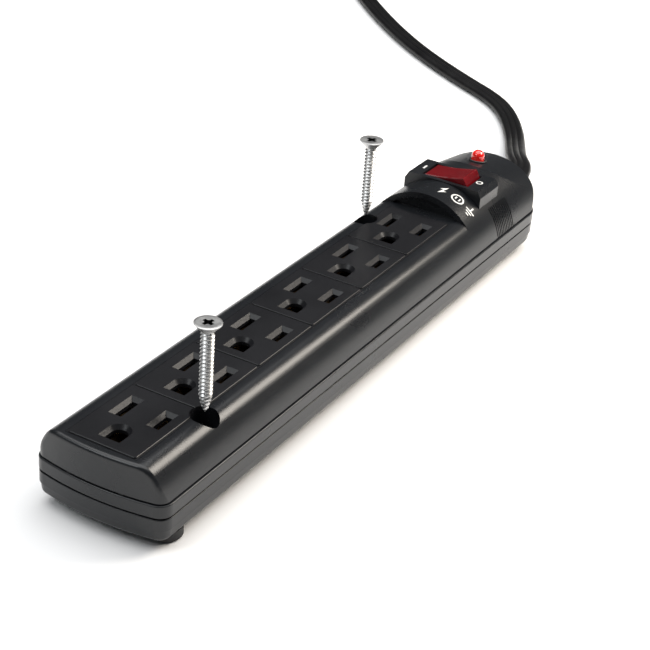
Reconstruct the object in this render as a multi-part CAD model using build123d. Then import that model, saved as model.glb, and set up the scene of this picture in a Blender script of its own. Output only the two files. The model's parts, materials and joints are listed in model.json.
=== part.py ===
from build123d import *
import math
import os

# A six-outlet surge-protected outlet strip with its rocker switch, pilot lamp, cord and plug,
# and the two wood screws that fasten it.
# Millimetres. +X runs along the strip to the cord end, +Y to the neutral-slot side, +Z up.
# The origin is on the bench, under the middle of the housing's box.

os.makedirs("parts", exist_ok=True)

# ---- housing ----
LENGTH = 255.3
HALF_WIDTH = 23.1
NEAR_X = -LENGTH / 2
FAR_X = LENGTH / 2
FOOT_HEIGHT = 3.5
BASE_STEP_Z = 7.5
BASE_TOP_Z = 11.4
COVER_Z = 12.0
BAND_TOP_Z = 16.2
AXIS_Z = 11.7
DOME_R = 23.0
SHOULDER_R = 6.0
FLAT_Z = 27.6
WALL = 2.0
FLOOR_Z = FOOT_HEIGHT + WALL
ARCH_X = 68.95
SLOPE_X = 101.65
SLOPE_DEG = 9.2
SLOPE_FLATNESS = 1.13
NEAR_BOW_R = 92.0
FAR_BOW_R = 150.0
NEAR_CORNER_R = 4.5
NEAR_RIM_R = 1.4
PARTING_R = 0.25
GROOVE_HIGH = 0.5
GROOVE_DEEP = 0.7
BASE_EDGE_R = 1.5
FAR_CORNER_R = 12.0

# ---- outlets ----
OUTLETS = 6
PITCH = 31.5
FIRST_X = -103.35
TILE_TOP_Z = 28.0
TILE_HALF_WIDTH = 11.8
WINDOW_X = (-123.95, 65.25)
WINDOW_HALF = 12.5
LEDGE_HALF = 11.5
LEDGE_Z = 26.5
WINDOW_GAP = 0.1
BLADE_Y = 6.35
GROUND_DX = -11.9
SLOT_MARGIN = 1.15
NEUTRAL_SLOT = (11.3, 4.5)
HOT_SLOT = (9.75, 4.5)
SLOT_X = [FIRST_X + PITCH * i for i in range(OUTLETS)]
GROUND_X = [x + GROUND_DX for x in SLOT_X]

# ---- bus bars ----
BUS_Z = 11.4
GROUND_BUS_Z = 8.4
STRIP = 0.6
BUS_HALF = 2.2
GROUND_BUS_HALF = 2.75
BUS_END_X = 67.2

# ---- rocker switch ----
SWITCH_X = 89.85
PLATFORM_HALF = (7.5, 15.8)
PLATFORM_Z = 35.0
ROCKER_HALF_X = 5.5
ROCKER_HALF_Y = 7.9
ROCKER_CROWN = 4.85
ROCKER_PIVOT_Z = 31.5
ROCKER_REST_DEG = -9.5
BLADE_PIVOT_Z = 20.5
BLADE_REST_DEG = 5.7
SWITCH_BODY_HALF = (6.55, 10.8)
SWITCH_BODY_Z = (14.0, 33.0)

# ---- mounting wells and screws ----
WELLS = {"near": (-93.35, -14.2), "far": (50.15, 14.2)}
WELL_R = 4.5
WELL_TUBE_R = 5.6
SEAT_BORE_R = 2.5
SEAT_Z = 5.0
SEAT_HALF_ANGLE = 41.0
SEAT_BOSS_Z = 8.5
SCREW_TIP_Z = 28.6
SCREW_TOP_Z = 58.4
SCREW_HEAD_R = 4.2
SCREW_CORE_R = 1.6
SCREW_THREAD_R = 2.1
SCREW_PITCH = 1.25

# ---- small hardware ----
HOUSING_SCREWS = [(-119.5, -9.0), (-119.5, 9.0), (-29.4, -15.0), (-29.4, 15.0), (117.5, -11.0), (117.5, 11.0)]
FEET = [(-115.35, -16.8), (-115.35, 16.8), (104.0, -13.0), (104.0, 13.0)]
FOOT_R = 5.2
LED_X = 111.65
LED_R = 2.5

# ---- surge board ----
BOARD_X = (64.5, 81.0)
BOARD_HALF_Y = 16.5
BOARD_Z = (5.8, 7.4)
MOV_X = 73.8
MOVS = {"line_neutral": -12.5, "line_ground": -0.5, "neutral_ground": 5.5}

WIRE_R = 1.2

# ---- cord: three flat parallel conductors, drawn as a round tube of the same section area ----
CORD_R = 3.1
CORD_FLOOR_Z = 3.2
RELIEF_END_X = 146.5
ROUTE = [
    (146.5, 0, 11.7),
    (155.5, 0, 11.7),
    (166.0, 2.4, 11.2),
    (178.0, 9.5, 9.0),
    (191.5, 16.2, 5.8),
    (205, 23.2, 3.8),
    (218, 30.6, 3.2),
    (231, 39, 3.2),
    (242.5, 48.6, 3.2),
    (251, 59.5, 3.2),
    (259, 74.5, 3.2),
    (271, 95, 3.2),
    (286, 117.5, 3.2),
    (304, 140, 3.2),
    (325.5, 163.5, 3.2),
    (349.5, 187, 3.2),
    (376, 209.5, 3.2),
    (404, 229, 3.2),
    (432, 247.1, 3.2),
]
COIL_CENTRE = (454.0, 200.0)
COIL_R = 52.0
COIL_HALF_WIDTH = 4.6
COIL_Z = (0.9, 13.3)
PLUG_YAW = -60.0


def save(shape, name):
    """Write one node's STEP file."""
    shape.label = name
    export_step(shape, f"parts/{name}.step")


def box(x, y, z):
    """A box between (low, high) pairs."""
    size = [pair[1] - pair[0] for pair in (x, y, z)]
    middle = [(pair[1] + pair[0]) / 2 for pair in (x, y, z)]
    return Pos(*middle) * Box(*size)


def post(x, y, r, z0, z1):
    """An upright round post."""
    return Pos(x, y, (z0 + z1) / 2) * Cylinder(r, z1 - z0)


def rod_x(y, z, r, x0, x1):
    """A round rod along X."""
    return Pos((x0 + x1) / 2, y, z) * Rot(0, 90, 0) * Cylinder(r, x1 - x0)


def arc_radii(points):
    """An arc for each corner, as large as its two runs allow."""
    radii = []
    for a, b, c in zip(points, points[1:], points[2:]):
        first = Vector(*b) - Vector(*a)
        second = Vector(*c) - Vector(*b)
        turn = first.get_angle(second)
        run = min(first.length, second.length)
        radii.append(0.45 * run / math.tan(math.radians(turn / 2)))
    return radii


def wire(points, r):
    """A round conductor along straight runs and tangent arcs."""
    if len(points) == 2:
        path = Line(*points)
    else:
        path = FilletPolyline(*points, radius=arc_radii(points))
    start = Plane(origin=path @ 0, z_dir=path % 0)
    return sweep(start * Circle(r), path=path)


def outline(inset):
    """The housing's plan: bowed ends, small corners at the near end, large ones at the far end."""
    w = HALF_WIDTH - inset
    near = NEAR_X + inset
    far = FAR_X - inset
    near_r = NEAR_BOW_R - inset
    far_r = FAR_BOW_R - inset
    near_side = near + near_r - math.sqrt(near_r**2 - w**2)
    far_side = far - far_r + math.sqrt(far_r**2 - w**2)
    edges = [
        ThreePointArc((near_side, -w), (near, 0), (near_side, w)),
        Line((near_side, w), (far_side, w)),
        ThreePointArc((far_side, w), (far, 0), (far_side, -w)),
        Line((far_side, -w), (near_side, -w)),
    ]
    face = make_face(edges)
    corners = face.vertices().sort_by(Axis.X)
    face = fillet(corners[:2], max(NEAR_CORNER_R - inset, 1.0))
    corners = [v for v in face.vertices() if v.X > 0 and abs(abs(v.Y) - w) < 0.01]
    return fillet(ShapeList(corners), FAR_CORNER_R - inset)


def slab(inset, z0, z1, taper=0):
    """The plan outline raised from z0 to z1; taper draws it in towards z1."""
    return extrude(Pos(0, 0, z0) * outline(inset), z1 - z0, taper=taper)


def arch(radius, flat_z, x0, x_step, x_slope, x1):
    """The round-backed section: flat-topped to x_step, then a full round whose end slopes away."""
    flat = rod_x(0, AXIS_Z, radius, x0, x_step)
    flat -= box((x0 - 1, x_step + 1), (-30, 30), (flat_z, 60))
    shoulders = flat.faces().sort_by(Axis.Z)[-1].edges().filter_by(Axis.X)
    flat = fillet(shoulders, SHOULDER_R - (DOME_R - radius))
    down = math.radians(SLOPE_DEG)
    tilted = Plane(
        origin=(x_slope - 20 * math.cos(down), 0, AXIS_Z + 20 * math.sin(down)),
        x_dir=(0, 1, 0),
        z_dir=(math.cos(down), 0, -math.sin(down)),
    )
    dome = rod_x(0, AXIS_Z, radius, x_step, x_slope)
    tail = rod_x(0, AXIS_Z, radius, x_slope, x1)
    tail &= extrude(tilted * Ellipse(radius * SLOPE_FLATNESS, radius), 60)
    return flat + dome + tail


def blade_recess(x, y, size):
    """A slot's wide chamfered mouth and its straight way through the cover."""
    inner = [s - 2 * SLOT_MARGIN for s in size]
    mouth = loft([
        Pos(x, y, TILE_TOP_Z) * Rectangle(*size),
        Pos(x, y, TILE_TOP_Z - 1.3) * Rectangle(*inner),
    ], ruled=True)
    return mouth + Pos(x, y, TILE_TOP_Z - 3) * Box(inner[0], inner[1], 5)


def ground_face(x, half, back):
    """The ground opening's outline: flat at the back, round towards the blades."""
    return make_face([
        Line((x, half), (x - back, half)),
        Line((x - back, half), (x - back, -half)),
        Line((x - back, -half), (x, -half)),
        ThreePointArc((x, -half), (x + half, 0), (x, half)),
    ])


def ground_recess(x):
    """The ground opening's chamfered mouth and its straight way through the cover."""
    outer = ground_face(x, 3.75, 4.9)
    inner = ground_face(x, 2.65, 3.8)
    mouth = loft([Pos(0, 0, TILE_TOP_Z) * outer, Pos(0, 0, TILE_TOP_Z - 1.3) * inner], ruled=True)
    return mouth + extrude(Pos(0, 0, TILE_TOP_Z - 5) * inner, 5)


def tile(x0, x1):
    """One slightly raised outlet face."""
    pad = box((x0 + 0.3, x1 - 0.3), (-TILE_HALF_WIDTH, TILE_HALF_WIDTH), (FLAT_Z - 1, TILE_TOP_Z))
    pad = fillet(pad.edges().filter_by(Axis.Z), 0.8)
    return chamfer(pad.faces().sort_by(Axis.Z)[-1].edges(), 0.15)


def top_cover():
    """The cover: skirt band, round back, outlet window, arch, switch platform and ribs."""
    outer = slab(0.5, BAND_TOP_Z, 40) & arch(DOME_R, FLAT_Z, NEAR_X - 3, ARCH_X, SLOPE_X, FAR_X + 3)
    near_rim = outer.edges().filter_by(lambda e: e.center().X < NEAR_X + 6 and e.center().Z > BAND_TOP_Z + 0.3)
    outer = fillet(near_rim, NEAR_RIM_R)
    envelope = outer + slab(0.5, COVER_Z, BAND_TOP_Z)
    platform = box(
        (SWITCH_X - PLATFORM_HALF[0], SWITCH_X + PLATFORM_HALF[0]),
        (-PLATFORM_HALF[1], PLATFORM_HALF[1]),
        (24.0, PLATFORM_Z),
    )
    ends = platform.faces().sort_by(Axis.Z)[-1].edges().filter_by(Axis.X)
    platform = chamfer(ends, 2.6, 1.5)
    band = slab(0, COVER_Z, BAND_TOP_Z)
    band = fillet(band.faces().sort_by(Axis.Z)[-1].edges(), 0.4)
    band = fillet(band.faces().sort_by(Axis.Z)[0].edges(), PARTING_R)
    groove = slab(-1.0, BAND_TOP_Z, BAND_TOP_Z + GROOVE_HIGH)
    groove -= slab(0.5 + GROOVE_DEEP, BAND_TOP_Z, BAND_TOP_Z + GROOVE_HIGH)
    shell = band + (outer - groove) + platform
    cavity = slab(WALL, COVER_Z - 1, 40) & arch(
        DOME_R - WALL, FLAT_Z - WALL, NEAR_X - 3, ARCH_X + 3.4, SLOPE_X, FAR_X + 3
    )
    shell -= cavity
    recess = rod_x(0, AXIS_Z, DOME_R - 2.1, ARCH_X - 1, ARCH_X + 1.6)
    shell -= recess & box((ARCH_X - 1, ARCH_X + 1.6), (-20, 20), (FLAT_Z, 40))
    pocket = box(
        (SWITCH_X - SWITCH_BODY_HALF[0] - 0.15, SWITCH_X + SWITCH_BODY_HALF[0] + 0.15),
        (-SWITCH_BODY_HALF[1] - 0.2, SWITCH_BODY_HALF[1] + 0.2),
        (20.0, SWITCH_BODY_Z[1]),
    )
    shell -= pocket
    shell -= Pos(SWITCH_X, 0, PLATFORM_Z) * Box(2 * ROCKER_HALF_X + 0.6, 19.2, 8)
    for x, y in WELLS.values():
        shell += post(x, y, WELL_TUBE_R, SEAT_BOSS_Z + 0.2, 40) & (
            envelope + box((x - 8, x + 8), (y - 8, y + 8), (SEAT_BOSS_Z, COVER_Z + 1))
        )
        shell -= post(x, y, WELL_R, SEAT_BOSS_Z - 1, 40)
    for x, y in HOUSING_SCREWS:
        shell += post(x, y, 3.2, 7.7, 40) & (
            envelope + box((x - 4, x + 4), (y - 4, y + 4), (7, COVER_Z + 1))
        )
        shell -= post(x, y, 1.55, 7, 18)
    for y in (-9.0, 9.0):
        shell += box((-126.5, -122.0), (y - 0.8, y + 0.8), (COVER_Z + 2, FLAT_Z - 1)) & envelope
    shell -= box(WINDOW_X, (-WINDOW_HALF, WINDOW_HALF), (LEDGE_Z, 34))
    shell -= box(WINDOW_X, (-LEDGE_HALF, LEDGE_HALF), (FLAT_Z - WALL - WINDOW_GAP, 34))
    shell -= Pos(LED_X, 0, 32) * Cylinder(LED_R + 0.15, 12)
    for i in range(11):
        ring_plane = Plane.YZ.offset(87.4 + 1.3 * i) * Pos(0, AXIS_Z)
        ring = extrude(ring_plane * (Circle(24.5) - Circle(22.45)), 0.65)
        for side in (1, -1):
            band = sorted((side * 17.0, side * 26.0))
            shell -= ring & box((80, 110), band, (BAND_TOP_Z, 40))
    return shell - cord_opening()


def outlet_face(x):
    """One outlet's insert: raised face, stepped edge that sits on the window's ledge, three openings."""
    x0 = x - 20.5
    ends = (x0 + 0.05, x0 + PITCH - 0.05)
    half = WINDOW_HALF - WINDOW_GAP
    inner = LEDGE_HALF - WINDOW_GAP
    face = box(ends, (-half, half), (LEDGE_Z, FLAT_Z))
    face += box(ends, (-inner, inner), (FLAT_Z - WALL, LEDGE_Z + 0.1))
    face += tile(x0, x0 + PITCH)
    face -= blade_recess(x, BLADE_Y, NEUTRAL_SLOT)
    face -= blade_recess(x, -BLADE_Y, HOT_SLOT)
    face -= ground_recess(x + GROUND_DX)
    for well_x, well_y in WELLS.values():
        face -= post(well_x, well_y, WELL_R, SEAT_BOSS_Z, 40)
    return face


def cord_opening():
    """The rectangular opening in the far end wall, half in the cover and half in the base."""
    return box((FAR_X - 4, FAR_X + 4), (-6.0, 6.0), (AXIS_Z - 4.4, AXIS_Z + 4.4))


def base_shell():
    """The base tray, with its tongue, screw seats and board pads."""
    lower = extrude(Pos(0, 0, BASE_STEP_Z) * outline(0.45), FOOT_HEIGHT - BASE_STEP_Z, taper=6)
    lower = fillet(lower.faces().sort_by(Axis.Z)[0].edges(), BASE_EDGE_R)
    rim = slab(0.1, BASE_STEP_Z, BASE_TOP_Z)
    rim = fillet(rim.faces().sort_by(Axis.Z)[-1].edges(), PARTING_R)
    tray = lower + rim + slab(1.3, BASE_TOP_Z, COVER_Z)
    tray -= slab(WALL, FLOOR_Z, COVER_Z + 1)
    for x, y in WELLS.values():
        tray += post(x, y, WELL_TUBE_R, FOOT_HEIGHT + 0.5, SEAT_BOSS_Z)
        seat = (WELL_R - SEAT_BORE_R) / math.tan(math.radians(SEAT_HALF_ANGLE))
        tray -= post(x, y, SEAT_BORE_R, 0, SEAT_Z + 1)
        tray -= Pos(x, y, SEAT_Z + seat / 2) * Cone(SEAT_BORE_R, WELL_R, seat)
        tray -= post(x, y, WELL_R, SEAT_Z + seat, 20)
    for x, y in HOUSING_SCREWS:
        tray += post(x, y, 4.0, FOOT_HEIGHT + 0.5, 7.5)
        tray -= post(x, y, 3.3, 0, 5.1)
        tray -= post(x, y, 1.75, 0, 20)
    for x in (BOARD_X[0] + 2, BOARD_X[1] - 2):
        for y in (-13.0, 13.0):
            tray += post(x, y, 1.5, FLOOR_Z - 0.5, BOARD_Z[0])
    return tray - cord_opening()


def bus_cradles():
    """The insulating stands on the tray's floor that carry the three bus strips."""
    stands = []
    for x in [-110.5] + [x + 9.0 for x in SLOT_X[:-1]]:
        stand = box((x - 0.8, x + 0.8), (-8.45, 8.45), (FLOOR_Z, BUS_Z))
        stands.append(stand - box((x - 2, x + 2), (-3.0, 3.0), (GROUND_BUS_Z, 20)))
    return Compound(children=stands)


def leaf(points, x0, x1, thick):
    """A folded contact leaf: a bent line in the YZ plane, given thickness and run along X."""
    line = Polyline(*points)
    return extrude(Plane.YZ.offset(x0) * trace(line, thick), x1 - x0)


def blade_bus(y, x_end):
    """A brass strip with a pair of gripping leaves under each blade slot."""
    bar = box((-110.0, x_end), (y - BUS_HALF, y + BUS_HALF), (BUS_Z, BUS_Z + STRIP))
    for x in SLOT_X:
        for s in (1, -1):
            profile = [(y + s * d, z) for d, z in ((1.9, 11.7), (1.9, 17), (0.95, 21), (1.7, 24.2))]
            bar += leaf(profile, x - 4.5, x + 4.5, 0.5)
    return bar


def ground_bus():
    """The lower brass strip, with a round-pin contact under each ground opening."""
    bar = box((-119.3, BUS_END_X), (-GROUND_BUS_HALF, GROUND_BUS_HALF), (GROUND_BUS_Z, GROUND_BUS_Z + STRIP))
    for x in GROUND_X:
        for s in (1, -1):
            profile = [(s * d, z) for d, z in ((2.5, 8.7), (2.5, 19), (2.55, 22), (3.2, 24))]
            bar += leaf(profile, x - 3.7, x + 3.5, 0.5)
    return bar


def mounting_screw(x, y):
    """A countersunk cross-recess wood screw, poised over its well."""
    rim = SCREW_TOP_Z - 0.3
    neck = rim - (SCREW_HEAD_R - 1.9) / math.tan(math.radians(SEAT_HALF_ANGLE))
    points = [(0, SCREW_TOP_Z), (SCREW_HEAD_R - 0.25, SCREW_TOP_Z), (SCREW_HEAD_R, rim), (1.9, neck)]
    turns = int((neck - SCREW_TIP_Z - 4.6) / SCREW_PITCH)
    for i in range(turns):
        z = neck - 0.3 - SCREW_PITCH * i
        points += [(SCREW_CORE_R, z), (SCREW_THREAD_R, z - 0.55), (SCREW_CORE_R, z - 1.05)]
    points += [(SCREW_CORE_R, SCREW_TIP_Z + 4.2), (0, SCREW_TIP_Z)]
    profile = Plane.XZ * make_face(Polyline(*points, close=True))
    screw = revolve(profile, Axis.Z)
    for angle in (0, 90):
        screw -= Pos(0, 0, SCREW_TOP_Z) * Rot(0, 0, angle) * Box(4.6, 1.1, 3.2)
    return Pos(x, y, 0) * screw


def about_x(shape, degrees, z):
    """Turn a shape about the switch's X axis at height z."""
    return Pos(0, 0, z) * Rot(degrees, 0, 0) * Pos(0, 0, -z) * shape


def rocker():
    """The rocker paddle in its rest position, tipped down on the +Y side."""
    z = ROCKER_PIVOT_Z
    top = z + ROCKER_CROWN
    reach = math.hypot(ROCKER_HALF_Y, ROCKER_CROWN)
    low = -2.2
    low_y = math.sqrt(reach**2 - low**2)
    edges = [
        ThreePointArc((-ROCKER_HALF_Y, top), (0, top - 0.45), (ROCKER_HALF_Y, top)),
        ThreePointArc((ROCKER_HALF_Y, top), (reach, z), (low_y, z + low)),
        Line((low_y, z + low), (5.5, z - 3.2)),
        Line((5.5, z - 3.2), (-5.5, z - 3.2)),
        Line((-5.5, z - 3.2), (-low_y, z + low)),
        ThreePointArc((-low_y, z + low), (-reach, z), (-ROCKER_HALF_Y, top)),
    ]
    x0 = SWITCH_X - ROCKER_HALF_X
    paddle = extrude(Plane.YZ.offset(x0) * make_face(edges), 2 * ROCKER_HALF_X)
    paddle = fillet(paddle.faces().sort_by(Axis.Z)[-1].edges(), 0.5)
    paddle += post(SWITCH_X, 0, 2.3, z - 7.5, z - 3)
    paddle -= post(SWITCH_X, 0, 1.7, z - 8, z - 2)
    paddle += rod_x(0, z, 1.2, SWITCH_X - 6.4, SWITCH_X + 6.4)
    return about_x(paddle, ROCKER_REST_DEG, z)


def rocker_plunger():
    """The round-ended plunger that slides in the rocker's stem and rides on the moving contact."""
    z = ROCKER_PIVOT_Z
    pin = post(SWITCH_X, 0, 1.5, z - 8.9, z - 5.6) + Pos(SWITCH_X, 0, z - 8.9) * Sphere(1.5)
    return about_x(pin, ROCKER_REST_DEG, z)


def rocker_spring():
    """The small spring that presses the plunger down, as the sleeve of its coils."""
    z = ROCKER_PIVOT_Z
    coil = post(SWITCH_X, 0, 1.45, z - 5.5, z - 2.1) - post(SWITCH_X, 0, 1.0, z - 6, z)
    return about_x(coil, ROCKER_REST_DEG, z)


def switch_body():
    """The switch's insulating box, open at the top, with bearing holes for the rocker."""
    half_x, half_y = SWITCH_BODY_HALF
    z0, z1 = SWITCH_BODY_Z
    walls = box((SWITCH_X - half_x, SWITCH_X + half_x), (-half_y, half_y), (z0, z1))
    walls -= box((SWITCH_X - half_x + 0.85, SWITCH_X + half_x - 0.85), (-half_y + 1, half_y - 1), (z0 + 1, z1 + 1))
    walls -= rod_x(0, ROCKER_PIVOT_Z, 1.25, SWITCH_X - 8, SWITCH_X + 8)
    walls -= box((SWITCH_X - 8, SWITCH_X + 8), (-1.0, 1.0), (ROCKER_PIVOT_Z, z1 + 1))
    for y in (-6.3, 0.0, 7.4):
        walls -= Pos(SWITCH_X, y, z0) * Box(6.5, 1.0, 6)
    return walls


def contact_blade():
    """The see-saw moving contact, with a silver-faced tip at each end, closed on the -Y side."""
    z = BLADE_PIVOT_Z
    bar = box((SWITCH_X - 2.5, SWITCH_X + 2.5), (-7.6, 7.6), (z - 0.3, z + 0.3))
    for y in (-6.3, 6.3):
        bar += post(SWITCH_X, y, 1.5, z - 0.9, z - 0.2)
    bar += rod_x(0, z, 0.5, SWITCH_X - 3.1, SWITCH_X + 3.1)
    return about_x(bar, BLADE_REST_DEG, z)


def contact_post():
    """The central post whose forked head carries the moving contact."""
    bar = box((SWITCH_X - 3.15, SWITCH_X + 3.15), (-0.4, 0.4), (9.0, 19.8))
    for s in (1, -1):
        x = SWITCH_X + s * 2.9
        bar += box((x - 0.25, x + 0.25), (-1.1, 1.1), (19, 22))
    return bar - rod_x(0, BLADE_PIVOT_Z, 0.56, SWITCH_X - 4, SWITCH_X + 4)


def load_terminal():
    """The fixed contact and its tab, on the side the moving contact closes to."""
    bar = box((SWITCH_X - 3.15, SWITCH_X + 3.15), (-6.7, -5.9), (9.0, 17.6))
    bar += box((SWITCH_X - 2.5, SWITCH_X + 2.5), (-8.2, -4.4), (17.0, 17.8))
    return bar + post(SWITCH_X, -6.3, 1.5, 17.7, 18.55)


def line_terminal():
    """The supply tab, with the foot that holds the bimetal strip."""
    bar = box((SWITCH_X - 3.15, SWITCH_X + 3.15), (7.0, 7.8), (9.0, 16.4))
    return bar + box((SWITCH_X - 2.0, SWITCH_X + 2.0), (5.4, 7.8), (15.8, 16.4))


def bimetal_strip():
    """The overload strip that joins the supply tab to the central post."""
    return box((SWITCH_X - 1.8, SWITCH_X + 1.8), (0.4, 7.6), (16.4, 16.9))


def mov(y):
    """A disc varistor standing on its two leads."""
    z = BOARD_Z[1] + 2.0 + 7.0
    disc = Pos(MOV_X, y, z) * Rot(90, 0, 0) * Cylinder(7.0, 4.0)
    disc = fillet(disc.edges().filter_by(GeomType.CIRCLE), 1.2)
    for dx, dy in ((-3.75, -0.6), (3.75, 0.6)):
        disc += post(MOV_X + dx, y + dy, 0.4, BOARD_Z[1], z - 5)
    return disc


def axial_part(x0, x1, y, r, lead_r):
    """A round axial component lying above the board, on two bent leads."""
    z = BOARD_Z[1] + r + 0.6
    body = rod_x(y, z, r, x0, x1)
    body += rod_x(y, z, lead_r, x0 - 1.5, x1 + 1.5)
    for x in (x0 - 1.5 + lead_r, x1 + 1.5 - lead_r):
        body += post(x, y, lead_r, BOARD_Z[1], z)
    return body


def led_lens():
    """The round-topped lamp, with the flange that holds it behind the cover."""
    body = post(LED_X, 0, LED_R, 28.2, 35.3) + Pos(LED_X, 0, 35.3) * Sphere(LED_R)
    return body + post(LED_X, 0, 2.9, 28.2, 29.2)


def strain_relief():
    """The moulded bush in the end wall: inner flange, neck, and tapering flexible tail."""
    flange = box((120.9, FAR_X - WALL - 0.45), (-7.0, 7.0), (AXIS_Z - 5.5, AXIS_Z + 5.5))
    flange = fillet(flange.edges().filter_by(Axis.X), 2.0)
    neck = box((FAR_X - WALL - 1.0, FAR_X + 0.35), (-5.8, 5.8), (AXIS_Z - 4.2, AXIS_Z + 4.2))
    big = Plane.YZ.offset(FAR_X + 0.35) * Pos(0, AXIS_Z) * RectangleRounded(13.6, 9.6, 4.2)
    small = Plane.YZ.offset(RELIEF_END_X) * Pos(0, AXIS_Z) * RectangleRounded(10.6, 6.6, 3.0)
    return flange + neck + loft([big, small], ruled=True)


def cord_tube(points, name):
    """A cord's tube, with its length, smallest bend and volume printed."""
    tube = wire(points, CORD_R)
    radii = arc_radii(points)
    length = FilletPolyline(*points, radius=radii).length
    share = tube.volume / (math.pi * CORD_R**2 * length)
    print(f"{name}: {length:.1f} mm, volume share {share:.4f}, radii {[round(r) for r in radii]}")
    return tube


def coil_ring():
    """The outer shape of the stacked turns."""
    x, y = COIL_CENTRE
    z0, z1 = COIL_Z
    ring = post(x, y, COIL_R + COIL_HALF_WIDTH, z0, z1) - post(x, y, COIL_R - COIL_HALF_WIDTH, z0 - 1, z1 + 1)
    return fillet(ring.edges().filter_by(GeomType.CIRCLE), 1.5)


def coil_tie(degrees):
    """A flat strap closed around the bundle of turns."""
    x, y = COIL_CENTRE
    inside = (2 * COIL_HALF_WIDTH + 0.7, COIL_Z[1] - COIL_Z[0] + 0.04)
    middle = (COIL_Z[0] + COIL_Z[1]) / 2
    band = Box(inside[0] + 1.6, 9.0, inside[1] + 1.6)
    band = fillet(band.edges().filter_by(Axis.Y), 0.7)
    band -= Box(inside[0], 12.0, inside[1])
    return Pos(x, y, middle) * Rot(0, 0, degrees) * Pos(COIL_R, 0, 0) * band


def on_plug(shape):
    """Place a shape that is drawn with the plug's face at x = 0 and its blades towards +X."""
    return Location(PLUG_PLACE, (0, 0, PLUG_YAW)) * shape


def plug_body():
    """The moulded grip, lying on its side, with the cord's tapered tail at the back."""
    front = Plane.YZ.offset(-7) * RectangleRounded(27.0, 22.0, 4.0)
    grip = extrude(front, 7)
    waist = Plane.YZ.offset(-26) * RectangleRounded(20.0, 17.0, 4.0)
    neck = Plane.YZ.offset(-34) * RectangleRounded(14.0, 10.0, 3.5)
    tail = Plane.YZ.offset(-48) * RectangleRounded(10.6, 6.6, 3.0)
    grip += loft([front, waist], ruled=True)
    grip += loft([waist, neck], ruled=True)
    grip += loft([neck, tail], ruled=True)
    return grip


PLUG_LENGTH = 48.0
PLUG_Z = 11.0
LEAVE_DEG = 90.0 + PLUG_YAW
TAIL_START = (
    COIL_CENTRE[0] + COIL_R * math.cos(math.radians(LEAVE_DEG)),
    COIL_CENTRE[1] + COIL_R * math.sin(math.radians(LEAVE_DEG)),
    PLUG_Z,
)
TAIL_RUN = 40.0
TAIL_END = (
    TAIL_START[0] + TAIL_RUN * math.cos(math.radians(PLUG_YAW)),
    TAIL_START[1] + TAIL_RUN * math.sin(math.radians(PLUG_YAW)),
    PLUG_Z,
)
PLUG_PLACE = (
    TAIL_END[0] + PLUG_LENGTH * math.cos(math.radians(PLUG_YAW)),
    TAIL_END[1] + PLUG_LENGTH * math.sin(math.radians(PLUG_YAW)),
    PLUG_Z,
)

# ---- write the nodes ----
save(base_shell(), "base_shell")
save(top_cover(), "top_cover")
for i, x in enumerate(SLOT_X):
    save(outlet_face(x), f"outlet_face_{i + 1}")
save(bus_cradles(), "bus_cradles")

save(blade_bus(-BLADE_Y, BUS_END_X), "line_bus")
save(blade_bus(BLADE_Y, BUS_END_X), "neutral_bus")
save(ground_bus(), "ground_bus")

for name, (x, y) in WELLS.items():
    save(mounting_screw(x, y), f"mounting_screw_{name}")

save(rocker(), "rocker")
save(rocker_plunger(), "rocker_plunger")
save(rocker_spring(), "rocker_spring")
save(switch_body(), "switch_body")
save(contact_blade(), "contact_blade")
save(contact_post(), "contact_post")
save(load_terminal(), "load_terminal")
save(line_terminal(), "line_terminal")
save(bimetal_strip(), "bimetal_strip")

save(box(BOARD_X, (-BOARD_HALF_Y, BOARD_HALF_Y), BOARD_Z), "surge_board")
for name, y in MOVS.items():
    save(mov(y), f"varistor_{name}")
save(axial_part(69.0, 77.0, 10.0, 1.8, 0.35), "thermal_fuse")
save(axial_part(70.0, 76.5, 13.0, 0.95, 0.3), "lamp_resistor")
save(axial_part(71.0, 75.0, 15.3, 0.85, 0.3), "lamp_diode")
save(led_lens(), "lamp_lens")

# Leads from the board up to the bus bars.
for name, y, z in (
    ("line", -BLADE_Y, BUS_Z),
    ("neutral", BLADE_Y, BUS_Z),
    ("ground", 0.0, GROUND_BUS_Z),
):
    save(post(65.8, y, 0.6, BOARD_Z[1], z), f"surge_lead_{name}")

# The cord's three conductors inside the housing, and the switched line to its bus bar.
save(wire([(120.9, -2.6, 11.7), (117.5, -2.6, 11.7), (109, 0.5, 18.0), (99, 7.4, 12.4), (93.0, 7.4, 12.4)],
          WIRE_R), "line_supply_wire")
save(wire([(120.9, 2.6, 11.7), (117.0, 2.6, 11.7), (108, 9, 7.9), (100, 17.6, 8.6), (84, 18.6, 10),
           (66, 18.4, 10), (60.5, 14.5, 11.7), (60.5, 8.55, 11.7)],
          WIRE_R), "neutral_wire")
save(wire([(120.9, 0, 11.7), (117.5, 0, 11.7), (112, -1.6, 7.2), (100, -17.4, 8.6), (84, -18.6, 9),
           (66, -18.4, 9), (61.0, -13, 8.7), (61.0, -2.75, 8.7)],
          WIRE_R), "ground_wire")
save(rod_x(-BLADE_Y, 11.7, WIRE_R, BUS_END_X, SWITCH_X - 3.15), "line_load_wire")

# The lamp's two thin wires, past the side of the switch to the board.
for name, y_lens, y_lane, z_lane in (("a", 1.27, 12.4, 22.5), ("b", -1.27, 14.4, 18.5)):
    points = [(LED_X, y_lens, 28.2), (LED_X, y_lens, z_lane + 2.5), (103, y_lane, z_lane),
              (82.5, y_lane, z_lane), (79.4, y_lane, z_lane - 4), (79.4, y_lane, BOARD_Z[1])]
    save(wire(points, 0.55), f"lamp_wire_{name}")

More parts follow.
